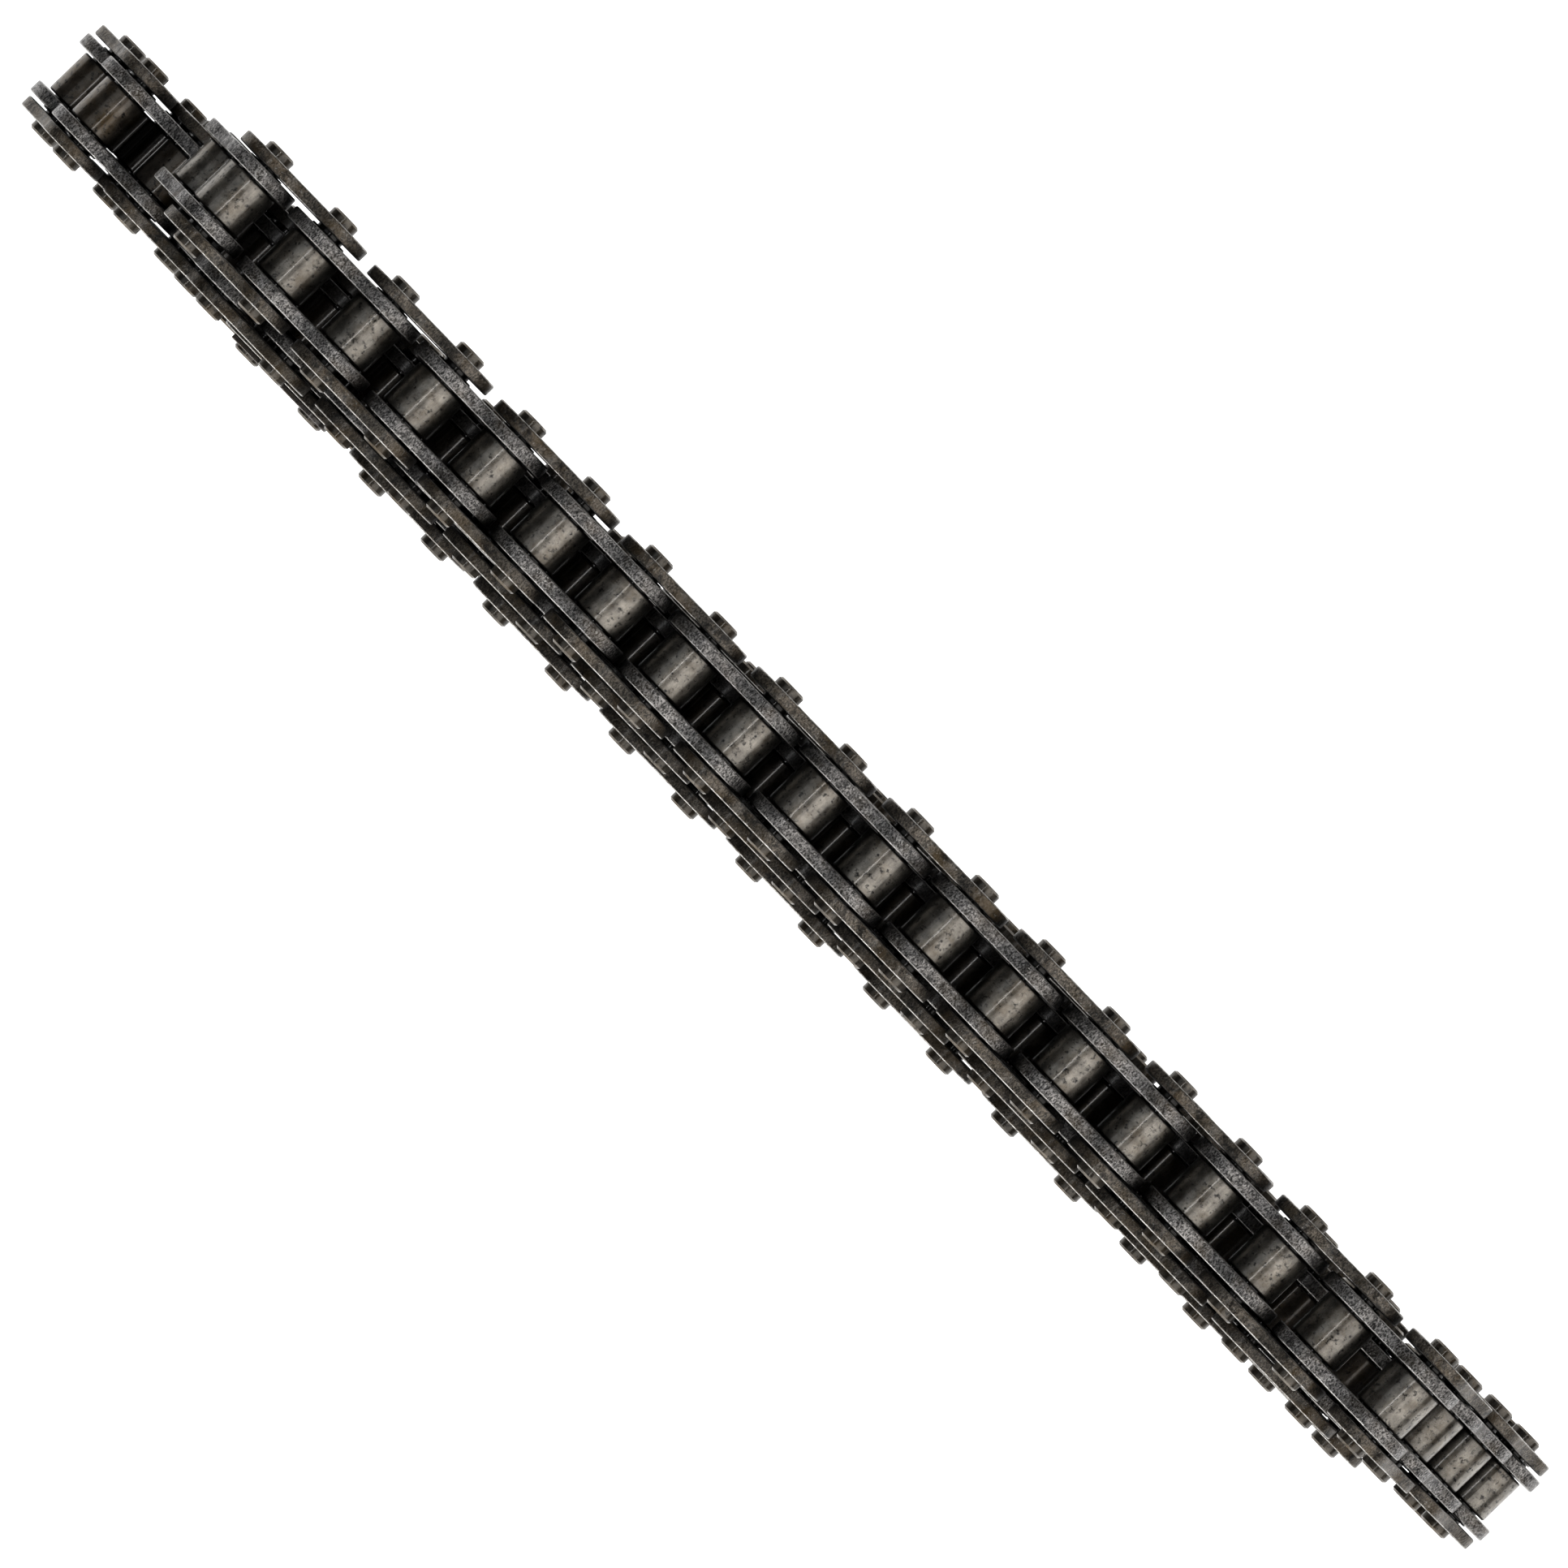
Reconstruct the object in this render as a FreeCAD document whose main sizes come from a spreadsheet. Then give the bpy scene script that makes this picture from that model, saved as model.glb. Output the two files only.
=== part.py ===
"""Drive roller chain of half-inch pitch, 84 links, lying folded flat in four stacked strands.

Frame: millimetres, +X along the strands, +Y along the pins, +Z up, origin in the middle of the footprint.
A link lies along X in its own frame, halfway between its two pins.
Inner links are two plates pressed onto two bushes, outer links are two plates pressed onto two pins.
"""

import FreeCAD, Part
import math
import os

import Sketcher

DIMENSIONS = {
    "pitch": 12.7,
    "roller_radius": 4.255,
    "roller_width": 7.35,
    "roller_bore_radius": 3.06,
    "roller_rounding": 0.35,
    "bush_radius": 3.0,
    "bush_bore_radius": 2.27,
    "bush_width": 12.25,
    "bush_chamfer": 0.12,
    "pin_radius": 2.225,
    "pin_stand_off": 1.3,
    "rivet_radius": 2.3,
    "rivet_face_radius": 1.98,
    "rivet_bevel": 0.3,
    "stake_radius": 0.9,
    "stake_depth": 0.22,
    "inner_width": 7.75,
    "inner_plate_thickness": 2.0,
    "inner_plate_height": 12.0,
    "inner_waist_height": 9.2,
    "outer_width": 12.85,
    "outer_plate_thickness": 1.8,
    "outer_plate_height": 10.8,
    "outer_waist_height": 9.0,
    "plate_rounding": 0.28,
    "clip_pin_stand_off": 1.45,
    "clip_pin_bevel": 0.3,
    "clip_groove_radius": 1.75,
    "clip_leg_width": 1.15,
    "clip_thickness": 0.8,
    "clip_rounding": 0.2,
    "strand_rise": 12.1,
}

# Direction of each link in the bends, in degrees above +X seen from -Y.
# The open one in each bend is solved so that the next strand lies level.
LEVEL = float("nan")
THIRD_STRAND = [0] * 16 + [3]
RIGHT_TURN = [LEVEL]
SECOND_STRAND = [177] + [180] * 16
LEFT_TURN = [LEVEL, 185.4, 185, 238.5]
BOTTOM_STRAND = [0] * 22
RIGHT_LOOP = [89, 123.5, 124, LEVEL]
TOP_STRAND = [196.5, 192, 187.5, 183.3] + [180] * 14
FREE_END = [242]

# Sideways drift of the strands at a few pins, in millimetres, counted in links from the connecting link.
DRIFT = [
    (0, -3.1), (4, -3.75), (8, -3.2), (13, -1.9), (17, -0.75),
    (22, -0.2), (25, -1.1), (32, -1.95), (35, -2.7), (41, -2.65),
    (61, 2.35), (63, 2.4), (65, 1.95), (68, 2.1), (76, 0.3), (84, 1.7),
]

doc = FreeCAD.newDocument("roller_chain")


def make_sheet():
    """Spreadsheet of the driving dimensions, one aliased cell each."""
    cells = doc.addObject("Spreadsheet::Sheet", "dims")
    for row, (alias, value) in enumerate(DIMENSIONS.items(), start=1):
        cells.set(f"A{row}", alias.replace("_", " "))
        cells.set(f"B{row}", str(value))
        cells.setAlias(f"B{row}", alias)
    doc.recompute()
    return cells


sheet = make_sheet()
PITCH = float(sheet.pitch)


# ---------------------------------------------------------------- sketch and feature helpers

def make_body(name):
    return doc.addObject("PartDesign::Body", name)


def make_sketch(body, name, plane):
    """Sketch on one of the body's own origin planes."""
    sketch = body.newObject("Sketcher::SketchObject", name)
    support = next(item for item in body.Origin.OriginFeatures if item.Role == plane)
    sketch.AttachmentSupport = [(support, "")]
    sketch.MapMode = "FlatFace"
    return sketch


def constrain(sketch, kind, *args, expression=None):
    """Add one constraint and bind its value to the sheet if it has one."""
    index = sketch.addConstraint(Sketcher.Constraint(kind, *args))
    if expression:
        sketch.setExpression(f"Constraints[{index}]", expression)
    return index


def add_circle(sketch, x, radius, radius_expression, x_expression=None):
    """Circle on the horizontal axis, with its radius and place bound to the sheet."""
    centre = FreeCAD.Vector(x, 0, 0)
    circle = sketch.addGeometry(Part.Circle(centre, FreeCAD.Vector(0, 0, 1), radius))
    constrain(sketch, "Radius", circle, radius, expression=radius_expression)
    if x_expression is None:
        constrain(sketch, "Coincident", circle, 3, -1, 1)
    else:
        constrain(sketch, "PointOnObject", circle, 3, -1)
        first, second = ((-1, 1), (circle, 3)) if x > 0 else ((circle, 3), (-1, 1))
        constrain(sketch, "DistanceX", *first, *second, abs(x), expression=x_expression)


def add_outline(sketch, corners):
    """Closed straight outline; each corner gives its coordinates as sheet expressions."""
    points = [FreeCAD.Vector(evaluate(x), evaluate(y), 0) for x, y in corners]
    lines = []
    for start, end in zip(points, points[1:] + points[:1]):
        lines.append(sketch.addGeometry(Part.LineSegment(start, end)))
    for line, following in zip(lines, lines[1:] + lines[:1]):
        constrain(sketch, "Coincident", line, 2, following, 1)
    for line, point, (x, y) in zip(lines, points, corners):
        if x == "0":
            constrain(sketch, "PointOnObject", line, 1, -2)
        else:
            constrain(sketch, "DistanceX", -1, 1, line, 1, point.x, expression=x)
        constrain(sketch, "DistanceY", -1, 1, line, 1, point.y, expression=y)


def evaluate(expression):
    """Value of a sheet expression as a plain number."""
    return float(sheet.evalExpression(expression))


def make_pad(body, name, sketch, length_expression):
    """Pad symmetric about the sketch plane, so that the piece is centred on its own frame."""
    pad = body.newObject("PartDesign::Pad", name)
    pad.Profile = sketch
    pad.SideType = "Symmetric"
    pad.setExpression("Length", length_expression)
    doc.recompute()
    return pad


def dress_edges(body, name, kind, base, size_property, expression, wanted):
    """Fillet or chamfer every edge of the base feature that wanted() accepts."""
    names = [f"Edge{i}" for i, edge in enumerate(base.Shape.Edges, start=1) if wanted(edge)]
    feature = body.newObject(f"PartDesign::{kind}", name)
    feature.Base = (base, names)
    feature.setExpression(size_property, expression)
    doc.recompute()
    return feature


def lies_flat(edge):
    """True for an edge in a plane square to the pins."""
    box = edge.BoundBox
    return box.YLength < 1e-6


def circle_radius(edge):
    """Radius of a full circle edge, or None."""
    full = isinstance(edge.Curve, Part.Circle) and edge.isClosed()
    return edge.Curve.Radius if full else None


# ---------------------------------------------------------------- master pieces

def make_link_plate(name, height, waist, thickness, hole):
    """Waisted link plate: two round lobes joined by two hollow flanks tangent to them."""
    lobe = evaluate(f"{height} / 2")
    neck = evaluate(f"{waist} / 2")
    half = PITCH / 2
    step = lobe - neck
    flank_centre = (half**2 - step**2) / (2 * step)
    flank_radius = flank_centre - neck
    meet = math.atan2(flank_centre, -half)
    lean = math.atan2(flank_centre, half)
    centre_expression = (
        f"((dims.pitch / 2)^2 - (({height} - {waist}) / 2)^2) / ({height} - {waist})"
    )

    body = make_body(name)
    sketch = make_sketch(body, f"{name}_outline", "XZ_Plane")

    def arc(x, y, radius, start, end):
        circle = Part.Circle(FreeCAD.Vector(x, y, 0), FreeCAD.Vector(0, 0, 1), radius)
        return sketch.addGeometry(Part.ArcOfCircle(circle, start, end))

    right = arc(half, 0, lobe, -meet, meet)
    top = arc(0, flank_centre, flank_radius, -math.pi + lean, -lean)
    left = arc(-half, 0, lobe, math.pi - meet, math.pi + meet)
    bottom = arc(0, -flank_centre, flank_radius, lean, math.pi - lean)
    constrain(sketch, "PointOnObject", right, 3, -1)
    constrain(sketch, "DistanceX", -1, 1, right, 3, half, expression="dims.pitch / 2")
    constrain(sketch, "PointOnObject", left, 3, -1)
    constrain(sketch, "DistanceX", left, 3, -1, 1, half, expression="dims.pitch / 2")
    constrain(sketch, "Radius", right, lobe, expression=f"{height} / 2")
    constrain(sketch, "Equal", right, left)
    constrain(sketch, "DistanceY", -1, 1, top, 3, flank_centre, expression=centre_expression)
    constrain(sketch, "DistanceY", bottom, 3, -1, 1, flank_centre, expression=centre_expression)
    constrain(sketch, "Tangent", right, 2, top, 2)
    constrain(sketch, "Tangent", top, 1, left, 1)
    constrain(sketch, "Tangent", left, 2, bottom, 2)
    constrain(sketch, "Tangent", bottom, 1, right, 1)
    for x in (half, -half):
        add_circle(sketch, x, evaluate(hole), hole, "dims.pitch / 2")

    pad = make_pad(body, f"{name}_pad", sketch, thickness)
    dress_edges(
        body, f"{name}_rounding", "Fillet", pad, "Radius", "dims.plate_rounding",
        lambda edge: lies_flat(edge) and circle_radius(edge) is None,
    )
    return body


def make_ring(name, radius, bore, width, kind, size_property, size):
    """Round ring along Y, with its two outer end edges rounded or chamfered."""
    body = make_body(name)
    sketch = make_sketch(body, f"{name}_section", "XZ_Plane")
    add_circle(sketch, 0, evaluate(radius), radius)
    add_circle(sketch, 0, evaluate(bore), bore)
    pad = make_pad(body, f"{name}_pad", sketch, width)
    outer = evaluate(radius)
    dress_edges(
        body, f"{name}_edges", kind, pad, size_property, size,
        lambda edge: circle_radius(edge) is not None and abs(circle_radius(edge) - outer) < 1e-6,
    )
    return body


def rivet_end(side):
    """Corners of a riveted pin end, from the axis to the shank: staked, bevelled and spread."""
    face = "(dims.outer_width / 2 + dims.outer_plate_thickness + dims.pin_stand_off)"
    plate = "(dims.outer_width / 2 + dims.outer_plate_thickness)"
    corners = [
        ("0", f"{face} - dims.stake_depth"),
        ("dims.stake_radius", f"{face}"),
        ("dims.rivet_face_radius", f"{face}"),
        ("dims.rivet_radius", f"{face} - dims.rivet_bevel"),
        ("dims.rivet_radius", plate),
        ("dims.pin_radius", plate),
    ]
    return [(x, f"{side} * ({y})") for x, y in corners]


def clip_end():
    """Corners of a connecting pin end at -Y, from the shank to the axis: clip groove, then a bevel."""
    plate = "(dims.outer_width / 2 + dims.outer_plate_thickness)"
    face = f"({plate} + dims.clip_pin_stand_off)"
    corners = [
        ("dims.pin_radius", plate),
        ("dims.clip_groove_radius", plate),
        ("dims.clip_groove_radius", f"{plate} + dims.clip_thickness"),
        ("dims.pin_radius", f"{plate} + dims.clip_thickness"),
        ("dims.pin_radius", f"{face} - dims.clip_pin_bevel"),
        ("dims.pin_radius - dims.clip_pin_bevel", face),
        ("0", face),
    ]
    return [(x, f"-1 * ({y})") for x, y in corners]


def make_pin(name, lower_end):
    """Pin turned about Y from half its section."""
    body = make_body(name)
    sketch = make_sketch(body, f"{name}_section", "XY_Plane")
    add_outline(sketch, rivet_end(1) + lower_end)
    turned = body.newObject("PartDesign::Revolution", f"{name}_turned")
    turned.Profile = sketch
    turned.ReferenceAxis = (sketch, ["V_Axis"])
    turned.Angle = 360
    doc.recompute()
    return body


def make_clip():
    """Flat spring clip: a hairpin whose legs snap into the grooves of both connecting pins."""
    groove, leg, pitch = "dims.clip_groove_radius", "dims.clip_leg_width", "dims.pitch"
    reach = evaluate(f"{pitch} / 2 + {groove} + {leg}")
    inner, outer = evaluate(groove), evaluate(f"{groove} + {leg}")
    half = PITCH / 2
    body = make_body("spring_clip_master")
    sketch = make_sketch(body, "spring_clip_outline", "XZ_Plane")
    up = FreeCAD.Vector(0, 0, 1)
    centre = FreeCAD.Vector(half, 0, 0)
    quarter = math.pi / 2
    bow = sketch.addGeometry(Part.ArcOfCircle(Part.Circle(centre, up, outer), -quarter, quarter))
    eye = sketch.addGeometry(Part.ArcOfCircle(Part.Circle(centre, up, inner), -quarter, quarter))

    def line(x1, y1, x2, y2):
        ends = FreeCAD.Vector(x1, y1, 0), FreeCAD.Vector(x2, y2, 0)
        return sketch.addGeometry(Part.LineSegment(*ends))

    sides = []
    for sign in (1, -1):
        back = line(half, sign * outer, -reach, sign * outer)
        tip = line(-reach, sign * outer, -reach, sign * inner)
        face = line(-reach, sign * inner, half, sign * inner)
        sides.append((back, tip, face))
    for (back, tip, face), end in zip(sides, (2, 1)):
        constrain(sketch, "Coincident", bow, end, back, 1)
        constrain(sketch, "Coincident", back, 2, tip, 1)
        constrain(sketch, "Coincident", tip, 2, face, 1)
        constrain(sketch, "Coincident", face, 2, eye, end)
        constrain(sketch, "Horizontal", back)
        constrain(sketch, "Vertical", tip)
        constrain(sketch, "Horizontal", face)
        constrain(
            sketch, "DistanceX", tip, 1, -1, 1, reach, expression=f"{pitch} / 2 + {groove} + {leg}"
        )
    constrain(sketch, "Coincident", bow, 3, eye, 3)
    constrain(sketch, "PointOnObject", bow, 3, -1)
    constrain(sketch, "DistanceX", -1, 1, bow, 3, half, expression=f"{pitch} / 2")
    constrain(sketch, "Radius", bow, outer, expression=f"{groove} + {leg}")
    constrain(sketch, "Radius", eye, inner, expression=groove)
    constrain(sketch, "Vertical", bow, 1, bow, 2)
    constrain(sketch, "Vertical", eye, 1, eye, 2)
    pad = make_pad(body, "spring_clip_pad", sketch, "dims.clip_thickness")

    def rims_bow(edge):
        """True for the outer arcs of the bow, on both faces of the clip."""
        return isinstance(edge.Curve, Part.Circle) and edge.Curve.Radius > (inner + outer) / 2

    dress_edges(
        body, "spring_clip_rounding", "Fillet", pad, "Radius", "dims.clip_rounding",
        lambda edge: lies_flat(edge) and rims_bow(edge),
    )
    return body


def make_copy(master, name, x="0", y="0"):
    """Linked copy of a master piece, placed by sheet expressions in the link's own frame."""
    copy = doc.addObject("App::Link", name)
    copy.LinkedObject = master
    copy.setExpression(".Placement.Base.x", x)
    copy.setExpression(".Placement.Base.y", y)
    return copy


def make_group(name, members):
    group = doc.addObject("Part::Compound", name)
    group.Links = members
    return group


INNER_SIDE = "(dims.inner_width + dims.inner_plate_thickness) / 2"
OUTER_SIDE = "(dims.outer_width + dims.outer_plate_thickness) / 2"
CLIP_SIDE = "(dims.outer_width / 2 + dims.outer_plate_thickness + dims.clip_thickness / 2)"
ENDS = (("rear", "-dims.pitch / 2"), ("front", "dims.pitch / 2"))

inner_plate = make_link_plate(
    "inner_plate", "dims.inner_plate_height", "dims.inner_waist_height",
    "dims.inner_plate_thickness", "dims.bush_radius",
)
outer_plate = make_link_plate(
    "outer_plate", "dims.outer_plate_height", "dims.outer_waist_height",
    "dims.outer_plate_thickness", "dims.pin_radius",
)
bush = make_ring(
    "bush", "dims.bush_radius", "dims.bush_bore_radius", "dims.bush_width",
    "Chamfer", "Size", "dims.bush_chamfer",
)
roller = make_ring(
    "roller", "dims.roller_radius", "dims.roller_bore_radius", "dims.roller_width",
    "Fillet", "Radius", "dims.roller_rounding",
)
riveted_pin = make_pin("riveted_pin", list(reversed(rivet_end(-1))))
clip_pin = make_pin("clip_pin", clip_end())
clip = make_clip()
doc.recompute()

inner_link = make_group(
    "inner_link_master",
    [make_copy(inner_plate, f"inner_plate_{side}", y=f"{sign}{INNER_SIDE}")
     for side, sign in (("near", "-"), ("far", ""))]
    + [make_copy(bush, f"bush_{end}", x=x) for end, x in ENDS],
)
outer_link = make_group(
    "outer_link_master",
    [make_copy(outer_plate, f"outer_plate_{side}", y=f"{sign}{OUTER_SIDE}")
     for side, sign in (("near", "-"), ("far", ""))]
    + [make_copy(riveted_pin, f"pin_{end}", x=x) for end, x in ENDS],
)
roller_pair = make_group(
    "roller_pair_master", [make_copy(roller, f"roller_{end}", x=x) for end, x in ENDS]
)
doc.recompute()


# ---------------------------------------------------------------- where the links lie

def rise(directions):
    """Height gained over some links, given their directions in degrees."""
    return sum(PITCH * math.sin(math.radians(angle)) for angle in directions)


def solve_level(run, goal, rising_left):
    """Replace the open direction in a run so that the run gains the goal height."""
    known = [angle for angle in run if not math.isnan(angle)]
    slope = math.degrees(math.asin((goal - rise(known)) / PITCH))
    solved = 180 - slope if rising_left else slope
    return [solved if math.isnan(angle) else angle for angle in run]


def lay_directions():
    """Direction of every link from the connecting link to the free end."""
    step_up = float(sheet.strand_rise)
    right_turn = solve_level(RIGHT_TURN, step_up - rise(THIRD_STRAND) - rise(SECOND_STRAND), True)
    left_turn = solve_level(LEFT_TURN, -2 * step_up, True)
    right_loop = solve_level(RIGHT_LOOP, 3 * step_up - rise(TOP_STRAND), True)
    return (
        THIRD_STRAND + right_turn + SECOND_STRAND + left_turn
        + BOTTOM_STRAND + right_loop + TOP_STRAND + FREE_END
    )


def drift_at(place):
    """Sideways place of the strand at a pin, straight between the listed pins."""
    for (start, low), (end, high) in zip(DRIFT, DRIFT[1:]):
        if place <= end:
            return low + (high - low) * (place - start) / (end - start)
    return DRIFT[-1][1]


def lay_pins():
    """Pin places as (x, z), and each link's sideways place, centred on the footprint."""
    directions = lay_directions()
    lobe = float(sheet.inner_plate_height) / 2
    x, z = 0.0, lobe + float(sheet.strand_rise)
    pins = [(x, z)]
    for angle in directions:
        x += PITCH * math.cos(math.radians(angle))
        z += PITCH * math.sin(math.radians(angle))
        pins.append((x, z))
    middle = (min(x for x, _ in pins) + max(x for x, _ in pins)) / 2
    sides = [(drift_at(i) + drift_at(i + 1)) / 2 for i in range(len(directions))]
    outer_sides = sides[0::2]
    centre = (min(outer_sides) + max(outer_sides)) / 2
    return [(x - middle, z) for x, z in pins], [side - centre for side in sides], directions


PINS, SIDES, DIRECTIONS = lay_pins()
LINK_COUNT = len(DIRECTIONS)
THIRD_END = len(THIRD_STRAND) + len(RIGHT_TURN)
SECOND_END = THIRD_END + len(SECOND_STRAND) + len(LEFT_TURN)
BOTTOM_END = SECOND_END + len(BOTTOM_STRAND)


def link_placement(index):
    """Placement of a link; each runs along X in its own frame."""
    (x1, z1), (x2, z2) = PINS[index], PINS[index + 1]
    base = FreeCAD.Vector((x1 + x2) / 2, SIDES[index], (z1 + z2) / 2)
    turn = FreeCAD.Rotation(FreeCAD.Vector(0, -1, 0), DIRECTIONS[index])
    return FreeCAD.Placement(base, turn)


def roller_placement(link, pin):
    """Placement of a roller on a link's bush."""
    x, z = PINS[pin]
    turn = FreeCAD.Rotation(FreeCAD.Vector(0, -1, 0), DIRECTIONS[link])
    return FreeCAD.Placement(FreeCAD.Vector(x, SIDES[link], z), turn)


# ---------------------------------------------------------------- sub-parts, one file each

nodes = []


def add_node(label, members, placement=None):
    """One named sub-part made of master pieces."""
    node = make_group(label, members)
    node.Label = label
    if placement is not None:
        node.Placement = placement
    nodes.append(node)


def add_strand(label, master, links):
    """Sub-part holding one master piece per link of a strand."""
    members = []
    for index in links:
        copy = doc.addObject("App::Link", f"{label}_{index}")
        copy.LinkedObject = master
        copy.Placement = link_placement(index)
        members.append(copy)
    add_node(label, members)


def add_folded_strands():
    """The three strands held in the stack; the first link of the third strand is the connecting link."""
    strands = {
        "third_strand": range(1, THIRD_END),
        "second_strand": range(THIRD_END, SECOND_END),
        "bottom_strand": range(SECOND_END, BOTTOM_END),
    }
    for strand, links in strands.items():
        inner = [index for index in links if index % 2 == 1]
        outer = [index for index in links if index % 2 == 0]
        add_strand(f"{strand}_inner_links", inner_link, inner)
        add_strand(f"{strand}_outer_links", outer_link, outer)
        add_strand(f"{strand}_rollers", roller_pair, inner)


def add_connecting_link():
    """Connecting link: riveted far plate and two grooved pins, loose near plate, and a spring clip."""
    fixed = [make_copy(outer_plate, "connecting_link_plate", y=OUTER_SIDE)]
    fixed += [make_copy(clip_pin, f"connecting_pin_{end}", x=x) for end, x in ENDS]
    place = link_placement(0)
    add_node("connecting_link", fixed, place)
    add_node("connecting_plate", [make_copy(outer_plate, "loose_plate", y=f"-{OUTER_SIDE}")], place)
    add_node("spring_clip", [make_copy(clip, "clip_in_grooves", y=f"-{CLIP_SIDE}")], place)


def add_free_links():
    """Links that can be lifted off the stack, numbered from the free end, and their rollers."""
    for index in range(BOTTOM_END, LINK_COUNT):
        number = (LINK_COUNT - 1 - index) // 2 + 1
        if index % 2 == 0:
            add_node(f"outer_link_{number:02d}", [outer_link], link_placement(index))
            continue
        add_node(f"inner_link_{number:02d}", [inner_link], link_placement(index))
        for offset, pin in ((1, index + 1), (0, index)):
            name = f"roller_{2 * number - offset:02d}"
            add_node(name, [roller], roller_placement(index, pin))


add_folded_strands()
add_connecting_link()
add_free_links()
doc.recompute()


# ---------------------------------------------------------------- checks and files

def check_document():
    """Stop if any object failed or any sub-part has no valid shape."""
    for item in doc.Objects:
        if {"Invalid", "Error"} & set(item.State):
            raise RuntimeError(f"{item.Name} failed: {item.State}")
    for node in nodes:
        if node.Shape.isNull() or not node.Shape.isValid():
            raise RuntimeError(f"{node.Label} has no valid shape")


check_document()
os.makedirs("parts", exist_ok=True)
for node in nodes:
    node.Shape.exportStep(f"parts/{node.Label}.step")
whole = Part.makeCompound([node.Shape for node in nodes]).BoundBox
print("sub-parts", len(nodes), "links", LINK_COUNT)
print("size", round(whole.XLength, 2), round(whole.YLength, 2), round(whole.ZLength, 2))
print("centre", round(whole.Center.x, 3), round(whole.Center.y, 3), "floor", round(whole.ZMin, 3))
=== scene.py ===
"""Looks of the folded roller chain: oiled, slightly rusted steel on a white studio floor."""
import math

import bpy
import numpy as np
from mathutils import Matrix, Vector

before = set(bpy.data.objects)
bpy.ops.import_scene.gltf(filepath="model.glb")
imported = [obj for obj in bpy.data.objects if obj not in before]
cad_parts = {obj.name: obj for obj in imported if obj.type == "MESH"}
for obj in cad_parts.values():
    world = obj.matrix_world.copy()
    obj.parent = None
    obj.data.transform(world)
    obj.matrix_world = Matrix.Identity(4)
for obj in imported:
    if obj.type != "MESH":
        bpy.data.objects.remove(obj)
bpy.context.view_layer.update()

MM = 0.001

# Camera, in metres: almost straight above, a little nearer the loop end.
CAMERA_PLACE = Vector((0.0229, 0.0007, 0.842))
CAMERA_LEAN = math.radians(-1.484)
STRAND_SLOPE = math.radians(46)
LENS = 134.2
SENSOR = 36.0
CLIP_END = 20.0

# Floor, light and picture tone.
LIGHT_TARGET = Vector((0, 0, 0.03))
FLOOR_REACH = 8.0
FLOOR_DROP = 0.05 * MM
FLOOR_GREY = 0.2
FLOOR_ROUGHNESS = 0.8
FLOOR_GLOW = 0.84
WORLD_STRENGTH = 0.03
EXPOSURE = 0.55
GAMMA = 0.76
WHITE = (1.0, 1.0, 1.0)

# Round pieces inside the link nodes, told from the plates by their radius about the pin's axis.
PIN_REACH = 2.42 * MM
BUSH_REACH = 3.05 * MM

# Depth of the relief, how near a surface has to be to get painted shade near it, and the oil's refraction.
PLATE_RELIEF = 0.10 * MM
TURNED_RELIEF = 0.014 * MM
CREVICE_SHADE_REACH = 11 * MM
OIL_IOR = 1.7

# Colours of the finishes, as linear light.
LINEAR = {
    "inner_plate": (0.205, 0.198, 0.194),
    "outer_plate": (0.128, 0.113, 0.095),
    "roller": (0.265, 0.248, 0.222),
    # Darker copy of the roller colour for the rollers of the lower strands: painted shade.
    "roller_in_painted_shade": (0.140, 0.120, 0.098),
    "pin": (0.170, 0.152, 0.128),
    "bush": (0.050, 0.046, 0.040),
    "clip": (0.12, 0.11, 0.105),
    "rust": (0.088, 0.060, 0.027),
    # grime: the colour of real grime, pits and smears, and also of the painted shade near other surfaces.
    "grime": (0.0030, 0.0026, 0.0024),
    # Bright colour of the corners and glints: partly real wear, partly painted highlight.
    "scuffed_and_highlight": (0.50, 0.49, 0.47),
}


# ---------------------------------------------------------------- shader helpers

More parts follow.
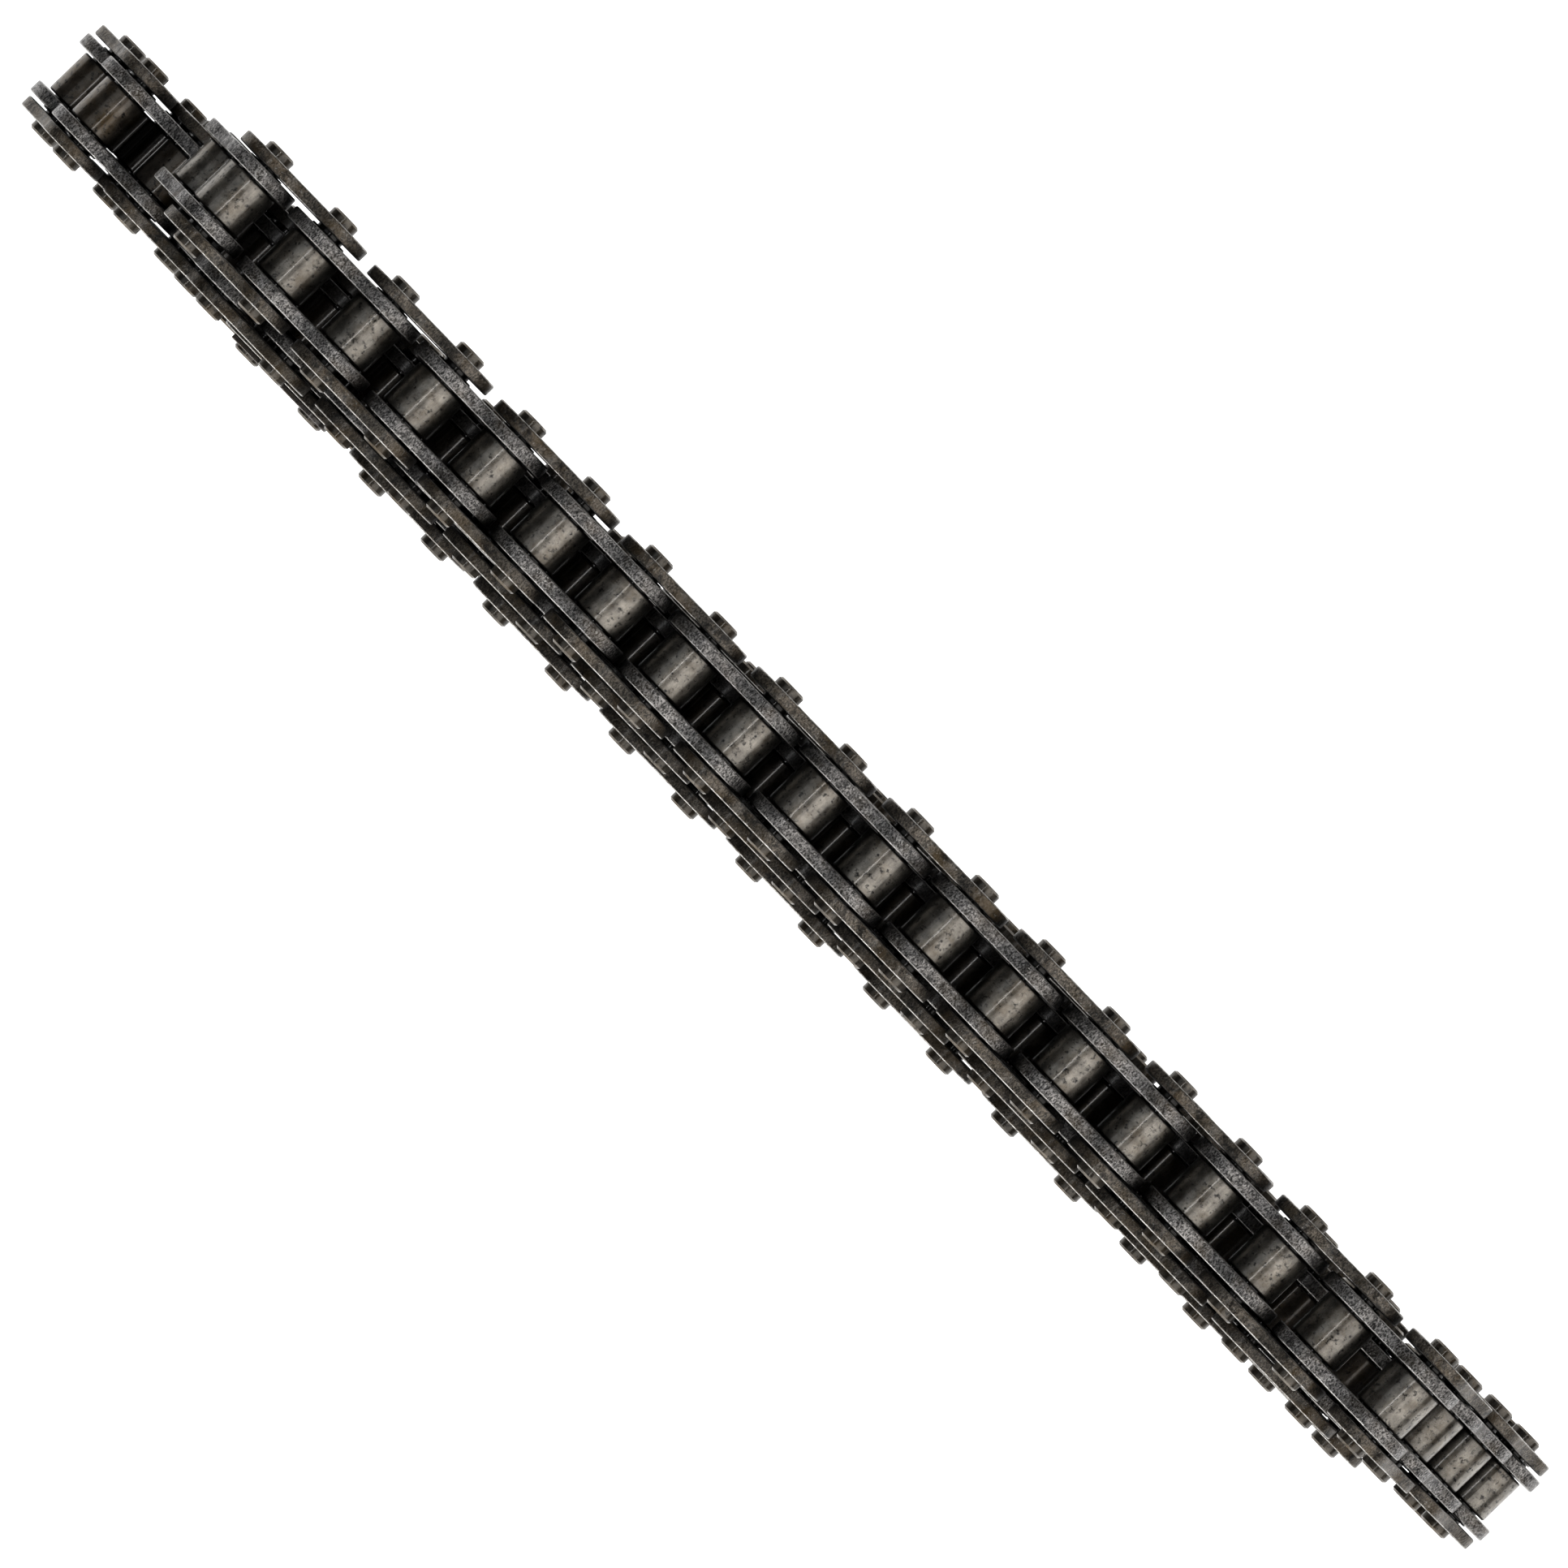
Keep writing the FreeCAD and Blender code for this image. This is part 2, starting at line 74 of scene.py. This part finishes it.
class Shader:
    """Builds one procedural material with short calls."""

    # Sockets of the mix node when it blends colours.
    MIX_FACTOR = 0
    MIX_FIRST = 6
    MIX_SECOND = 7
    MIX_RESULT = 2

    def __init__(self, name):
        self.material = bpy.data.materials.new(name)
        self.material.use_nodes = True
        self.tree = self.material.node_tree
        self.tree.nodes.clear()
        self.place = self.node("ShaderNodeTexCoord").outputs["Object"]

    def node(self, kind, **settings):
        made = self.tree.nodes.new(kind)
        for key, value in settings.items():
            setattr(made, key, value)
        return made

    def put(self, socket, value):
        """Link an output or set a number or colour."""
        if isinstance(value, bpy.types.NodeSocket):
            self.tree.links.new(value, socket)
        elif isinstance(value, tuple) and len(value) == 3 and socket.type == "RGBA":
            socket.default_value = (*value, 1.0)
        else:
            socket.default_value = value

    def math(self, operation, *values):
        made = self.node("ShaderNodeMath", operation=operation)
        for socket, value in zip(made.inputs, values):
            self.put(socket, value)
        return made.outputs[0]

    def stretch(self, scale):
        made = self.node("ShaderNodeMapping")
        self.put(made.inputs["Vector"], self.place)
        made.inputs["Scale"].default_value = scale
        return made.outputs[0]

    def noise(self, scale, detail, rough, vector=None, twist=0.0):
        made = self.node("ShaderNodeTexNoise")
        self.put(made.inputs["Vector"], vector or self.place)
        self.put(made.inputs["Scale"], scale)
        self.put(made.inputs["Detail"], detail)
        self.put(made.inputs["Roughness"], rough)
        self.put(made.inputs["Distortion"], twist)
        return made.outputs[0]

    def spots(self, scale):
        """Distance from the nearest of a scatter of points: small at each spot's middle."""
        made = self.node("ShaderNodeTexVoronoi")
        self.put(made.inputs["Vector"], self.place)
        self.put(made.inputs["Scale"], scale)
        return made.outputs["Distance"]

    def ramp(self, value, low, high, bottom=0.0, top=1.0):
        """Go from bottom to top as the value goes from low to high, and stay level outside."""
        made = self.node("ShaderNodeMapRange", clamp=True)
        self.put(made.inputs["Value"], value)
        self.put(made.inputs["From Min"], low)
        self.put(made.inputs["From Max"], high)
        self.put(made.inputs["To Min"], bottom)
        self.put(made.inputs["To Max"], top)
        return made.outputs[0]

    def mix(self, factor, first, second):
        """Blend two colours."""
        made = self.node("ShaderNodeMix", data_type="RGBA")
        self.put(made.inputs[self.MIX_FACTOR], factor)
        self.put(made.inputs[self.MIX_FIRST], first)
        self.put(made.inputs[self.MIX_SECOND], second)
        return made.outputs[self.MIX_RESULT]

    def tint(self, colour, brightness):
        """One of the named colours, made brighter or darker."""
        made = self.node("ShaderNodeHueSaturation")
        self.put(made.inputs["Color"], LINEAR[colour])
        self.put(made.inputs["Value"], brightness)
        return made.outputs[0]

    def sideways(self):
        """How much the surface faces along the pins: 0 on the cut edges, 1 on the flat sides."""
        split = self.node("ShaderNodeSeparateXYZ")
        self.put(split.inputs[0], self.node("ShaderNodeNewGeometry").outputs["Normal"])
        return self.math("ABSOLUTE", split.outputs["Y"])

    def wear_and_highlight_corners(self, side):
        """1 on the rounded corner between a cut edge and a flat side, which is made bright: partly real
        wear, partly painted highlight.
        """
        off_the_edge = self.ramp(side, low=0.30, high=0.62)
        off_the_flat = self.ramp(side, low=0.97, high=0.85)
        return self.math("MULTIPLY", off_the_edge, off_the_flat)

    def painted_crevice_shade(self, colour):
        """Painted shade: turn the colour towards the grime colour where other surfaces stand close by, as
        shade would fall there.
        """
        near = self.node("ShaderNodeAmbientOcclusion", samples=3)
        near.inputs["Distance"].default_value = CREVICE_SHADE_REACH
        # Painted shade: near black where the surroundings are close.
        painted_shade = self.ramp(near.outputs["AO"], low=0.22, high=0.72, bottom=0.96, top=0.0)
        return self.mix(painted_shade, colour, LINEAR["grime"])

    def finish(self, colour, roughness, height, depth, metal, coat, film):
        """Join colour, roughness, relief and a film of oil into the surface."""
        bump = self.node("ShaderNodeBump")
        bump.inputs["Distance"].default_value = depth
        self.put(bump.inputs["Height"], height)
        surface = self.node("ShaderNodeBsdfPrincipled")
        self.put(surface.inputs["Base Color"], colour)
        self.put(surface.inputs["Metallic"], metal)
        self.put(surface.inputs["Roughness"], roughness)
        self.put(surface.inputs["Coat Weight"], coat)
        self.put(surface.inputs["Coat Roughness"], film)
        self.put(surface.inputs["Coat IOR"], OIL_IOR)
        self.put(surface.inputs["Normal"], bump.outputs[0])
        out = self.node("ShaderNodeOutputMaterial")
        self.tree.links.new(surface.outputs[0], out.inputs["Surface"])
        return self.material


def plate_steel(name, colour, grain_gain, rust_amount, dirt, glint):
    """Stamped plate: torn grain, mottled scale, rust and grime stains, bright corners that are partly wear
    and partly painted highlight, painted glints, and painted shade in hollows between parts.
    """
    look = Shader(name)
    side = look.sideways()

    across_edge = look.stretch((4500, 2700, 4500))
    torn = look.noise(scale=1.0, detail=3.0, rough=0.62, vector=across_edge, twist=0.6)
    fine = look.noise(scale=11000, detail=2.0, rough=0.6)
    scale = look.noise(scale=600, detail=4.0, rough=0.62)
    rust_noise = look.noise(scale=190, detail=4.0, rough=0.62)
    grime_noise = look.noise(scale=430, detail=5.0, rough=0.7)
    chip_noise = look.noise(scale=1500, detail=3.0, rough=0.6)
    glint_noise = look.noise(scale=2600, detail=3.0, rough=0.6)

    grain = look.ramp(torn, low=0.41, high=0.60, bottom=1 - grain_gain, top=1 + 1.15 * grain_gain)
    mottled = look.ramp(scale, low=0.3, high=0.7, bottom=0.62, top=1.30)
    steel = look.tint(colour, look.math("MULTIPLY", grain, mottled))

    rust = look.math("MULTIPLY", look.ramp(rust_noise, low=0.48, high=0.66), rust_amount)
    grime = look.ramp(grime_noise, low=0.52, high=0.66, bottom=0.0, top=dirt)
    soiled = look.mix(grime, look.mix(rust, steel, LINEAR["rust"]), LINEAR["grime"])

    chipped = look.ramp(chip_noise, low=0.36, high=0.58, bottom=0.2, top=1.0)
    # Bright corners: partly real wear, partly painted highlight.
    wear_and_highlight = look.math("MULTIPLY", look.wear_and_highlight_corners(side), chipped)
    # Painted glints: small bright specks painted into the colour.
    glints = look.ramp(glint_noise, low=0.61, high=0.69, bottom=0.0, top=glint)
    shown = look.mix(look.math("MAXIMUM", wear_and_highlight, glints), soiled, LINEAR["scuffed_and_highlight"])

    dull = look.ramp(scale, low=0.3, high=0.7, bottom=0.32, top=0.52)
    roughness = look.math("ADD", dull, look.math("MULTIPLY", grime, 0.2))
    coarse_relief = look.math("MULTIPLY", torn, 0.8 * grain_gain + 0.2)
    relief = look.math("ADD", coarse_relief, look.math("MULTIPLY", fine, 0.3))
    # Painted shade in the hollows between parts.
    with_painted_shade = look.painted_crevice_shade(shown)
    return look.finish(with_painted_shade, roughness, relief, PLATE_RELIEF, metal=0.85, coat=0.4, film=0.22)


def turned_steel(name, colour, pit_gain, rough_low, rough_high, rust_amount):
    """Round pieces: faint streaks along the axis, pits, oil smears, rust stains and painted shade in hollows
    between parts.
    """
    look = Shader(name)

    along_axis = look.stretch((2600, 420, 2600))
    streak = look.noise(scale=1.0, detail=3.0, rough=0.6, vector=along_axis)
    cloud = look.noise(scale=430, detail=4.0, rough=0.62)
    fine = look.noise(scale=6500, detail=3.0, rough=0.6)
    rust_noise = look.noise(scale=300, detail=5.0, rough=0.68)
    pit_noise = look.noise(scale=260, detail=2.0, rough=0.5)
    smear_noise = look.noise(scale=1300, detail=4.0, rough=0.68)

    streaked = look.ramp(streak, low=0.3, high=0.7, bottom=0.86, top=1.14)
    clouded = look.ramp(cloud, low=0.34, high=0.66, bottom=0.60, top=1.30)
    steel = look.tint(colour, look.math("MULTIPLY", streaked, clouded))
    rust = look.math("MULTIPLY", look.ramp(rust_noise, low=0.47, high=0.64), rust_amount)

    pit_free = look.ramp(pit_noise, low=0.46, high=0.60, bottom=0.5, top=0.0)
    pit_field = look.math("ADD", look.spots(950), pit_free)
    pits = look.ramp(pit_field, low=0.10, high=0.26, bottom=pit_gain, top=0.0)
    smears = look.ramp(smear_noise, low=0.54, high=0.68, bottom=0.0, top=pit_gain)
    dark = look.math("MAXIMUM", pits, smears)
    shown = look.mix(dark, look.mix(rust, steel, LINEAR["rust"]), LINEAR["grime"])

    dull = look.ramp(cloud, low=0.3, high=0.7, bottom=rough_low, top=rough_high)
    roughness = look.math("ADD", dull, look.math("MULTIPLY", dark, 0.25))
    relief = look.math("SUBTRACT", look.math("MULTIPLY", fine, 0.35), dark)
    film = look.ramp(fine, low=0.35, high=0.65, bottom=0.06, top=0.2)
    # Painted shade in the hollows between parts.
    with_painted_shade = look.painted_crevice_shade(shown)
    return look.finish(with_painted_shade, roughness, relief, TURNED_RELIEF, metal=0.9, coat=0.6, film=film)


# Plates: name, colour, grain_gain, rust_amount, dirt, glint.
# Round pieces: name, colour, pit_gain, rough_low, rough_high, rust_amount.
MATERIALS = {
    "inner_plate": plate_steel("inner_plate_steel_grained", "inner_plate", 0.82, 0.40, 0.65, 0.9),
    "outer_plate": plate_steel("outer_plate_steel_scaled", "outer_plate", 0.58, 0.75, 0.8, 0.4),
    "roller": turned_steel("roller_steel_pitted", "roller", 0.9, 0.29, 0.44, 0.45),
    # Darker copy of the roller steel for the lower strands: painted shade.
    "roller_in_painted_shade": turned_steel("roller_steel_painted_shade", "roller_in_painted_shade", 0.95, 0.30, 0.46, 0.85),
    "pin": turned_steel("pin_steel_riveted", "pin", 0.7, 0.34, 0.50, 0.8),
    "bush": turned_steel("bush_steel_dull", "bush", 0.6, 0.36, 0.52, 0.6),
    "clip": turned_steel("clip_steel_blued", "clip", 0.5, 0.32, 0.48, 0.5),
}


# ---------------------------------------------------------------- finishes on the CAD nodes

def corner_table(mesh):
    """Corner places and the triangles' corner numbers of a mesh, as arrays."""
    places = np.zeros(len(mesh.vertices) * 3)
    mesh.vertices.foreach_get("co", places)
    corners = np.zeros(len(mesh.loops), dtype=np.int64)
    mesh.loops.foreach_get("vertex_index", corners)
    return places.reshape(-1, 3), corners.reshape(-1, 3)


def patch_labels(count, triangles):
    """A number per corner, shared by the corners of one smooth surface: those surfaces share no corner."""
    label = np.arange(count)
    while True:
        before = label.copy()
        np.minimum.at(label, triangles, label[triangles].min(axis=1)[:, None])
        label = label[label]
        if (label == before).all():
            return label


def patch_reach(places, label):
    """Per corner, the largest distance of its surface's corners from their middle, seen along the pins."""
    seen = places[:, [0, 2]]
    low = np.full((len(seen), 2), np.inf)
    high = np.full((len(seen), 2), -np.inf)
    np.minimum.at(low, label, seen)
    np.maximum.at(high, label, seen)
    away = np.linalg.norm(seen - (low[label] + high[label]) / 2, axis=1)
    reach = np.zeros(len(seen))
    np.maximum.at(reach, label, away)
    return reach[label]


def dress(node, finish, round_finish=None, reach=0.0):
    """Give a node its finish, and the round pieces within reach of their axis another."""
    mesh = node.data
    mesh.materials.clear()
    mesh.materials.append(MATERIALS[finish])
    if round_finish is None:
        return
    mesh.materials.append(MATERIALS[round_finish])
    places, triangles = corner_table(mesh)
    is_round = patch_reach(places, patch_labels(len(places), triangles)) < reach
    mesh.polygons.foreach_set("material_index", is_round[triangles[:, 0]].astype(np.int32))


for name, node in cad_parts.items():
    # Rollers of the lower strands, deeper in the stack, get the darker copy: painted shade.
    if "strand_rollers" in name:
        dress(node, "roller_in_painted_shade")
    elif "roller" in name:
        dress(node, "roller")
    elif name == "spring_clip":
        dress(node, "clip")
    elif "inner_link" in name:
        dress(node, "inner_plate", "bush", BUSH_REACH)
    else:
        dress(node, "outer_plate", "pin", PIN_REACH)


# ---------------------------------------------------------------- camera, floor and light

def add_camera():
    """Camera above the chain, turned so the strands run from upper left to lower right."""
    look = Vector((math.sin(CAMERA_LEAN), 0, -math.cos(CAMERA_LEAN)))
    along = Vector((math.cos(CAMERA_LEAN), 0, math.sin(CAMERA_LEAN)))
    across = Vector((0, 1, 0))
    right = along * math.cos(STRAND_SLOPE) + across * math.sin(STRAND_SLOPE)
    up = across * math.cos(STRAND_SLOPE) - along * math.sin(STRAND_SLOPE)
    data = bpy.data.cameras.new("camera")
    data.lens = LENS
    data.sensor_width = SENSOR
    data.clip_end = CLIP_END
    camera = bpy.data.objects.new("camera", data)
    turn = Matrix((right, up, -look)).transposed().to_4x4()
    camera.matrix_world = Matrix.Translation(CAMERA_PLACE) @ turn
    bpy.context.scene.collection.objects.link(camera)
    bpy.context.scene.camera = camera


def add_floor():
    """Studio floor that glows evenly, so that it looks white and takes no hard shadow."""
    look = Shader("floor_white")
    surface = look.node("ShaderNodeBsdfPrincipled")
    look.put(surface.inputs["Base Color"], (FLOOR_GREY, FLOOR_GREY, FLOOR_GREY))
    look.put(surface.inputs["Roughness"], FLOOR_ROUGHNESS)
    look.put(surface.inputs["Emission Color"], WHITE)
    look.put(surface.inputs["Emission Strength"], FLOOR_GLOW)
    out = look.node("ShaderNodeOutputMaterial")
    look.tree.links.new(surface.outputs[0], out.inputs["Surface"])
    mesh = bpy.data.meshes.new("floor")
    corners = []
    for x, y in ((-1, -1), (1, -1), (1, 1), (-1, 1)):
        corners.append((x * FLOOR_REACH, y * FLOOR_REACH, -FLOOR_DROP))
    mesh.from_pydata(corners, [], [(0, 1, 2, 3)])
    mesh.materials.append(look.material)
    floor = bpy.data.objects.new("floor", mesh)
    bpy.context.scene.collection.objects.link(floor)


def add_light(name, place, width, length, power, colour=WHITE, across=(0, 1, 0)):
    """Soft rectangular light aimed at the chain; its long side lies along the pins unless told otherwise."""
    data = bpy.data.lights.new(name, "AREA")
    data.shape = "RECTANGLE"
    data.size = width
    data.size_y = length
    data.energy = power
    data.color = colour
    light = bpy.data.objects.new(name, data)
    aim = (LIGHT_TARGET - Vector(place)).normalized()
    side = Vector(across).cross(-aim).normalized()
    upright = (-aim).cross(side)
    light.matrix_world = Matrix.Translation(place) @ Matrix((side, upright, -aim)).transposed().to_4x4()
    bpy.context.scene.collection.objects.link(light)


def add_world():
    """Faint even light from all round."""
    world = bpy.data.worlds.new("studio")
    world.use_nodes = True
    background = world.node_tree.nodes["Background"]
    background.inputs["Color"].default_value = (*WHITE, 1.0)
    background.inputs["Strength"].default_value = WORLD_STRENGTH
    bpy.context.scene.world = world


add_camera()
add_floor()
add_world()
add_light(
    "right_panel", place=(0.86, 0.0, 1.00), width=1.3, length=1.8, power=9.3,
    colour=(1.0, 0.98, 0.955),
)
add_light("top_strip", place=(-0.09, 0.0, 1.15), width=0.07, length=1.6, power=1.9)
add_light(
    "left_panel", place=(-0.62, 0.0, 1.05), width=0.6, length=1.6, power=1.25,
    colour=(0.93, 0.97, 1.0),
)
add_light(
    "rim_strip", place=(0.0, -1.0, 0.40), width=0.16, length=1.6, power=7.5,
    across=(1, 0, 0),
)
view = bpy.context.scene.view_settings
view.view_transform = "Standard"
view.exposure = EXPOSURE
view.gamma = GAMMA
